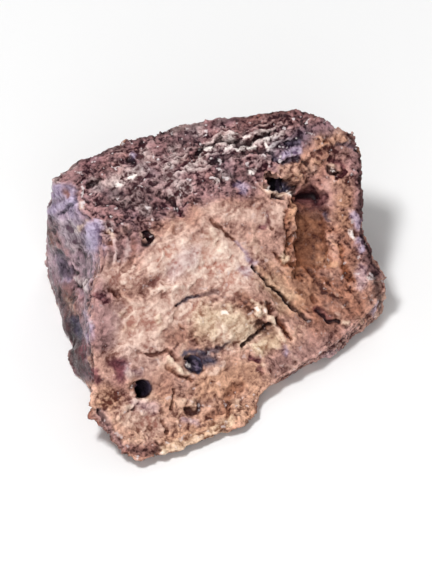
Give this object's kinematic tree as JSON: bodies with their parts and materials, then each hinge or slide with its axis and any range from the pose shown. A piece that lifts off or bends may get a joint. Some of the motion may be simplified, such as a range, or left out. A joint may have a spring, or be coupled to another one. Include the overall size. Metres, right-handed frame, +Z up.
{
  "type": "dried lung dog treat",
  "caption": "Rough wedge-shaped chunk of air-dried lung, with a long sloping face, a porous crown at the back, open airways and a flattened underside.",
  "frame": {"origin": "under the middle of the treat's box, on the surface that it lies on", "axes": "+Z up from the resting face; +X from the left corner to the right corner; -Y towards the thin front corner"},
  "size_m": [0.035, 0.0336, 0.017],
  "materials": {
    "dried_lung": "matt, dry and crumbly, mottled pinkish tan to dark purple-brown, with small glints and a soft sheen on the skin side"
  },
  "bodies": {
    "root": {"dried_lung_treat": "dried_lung"}
  },
  "joints": []
}
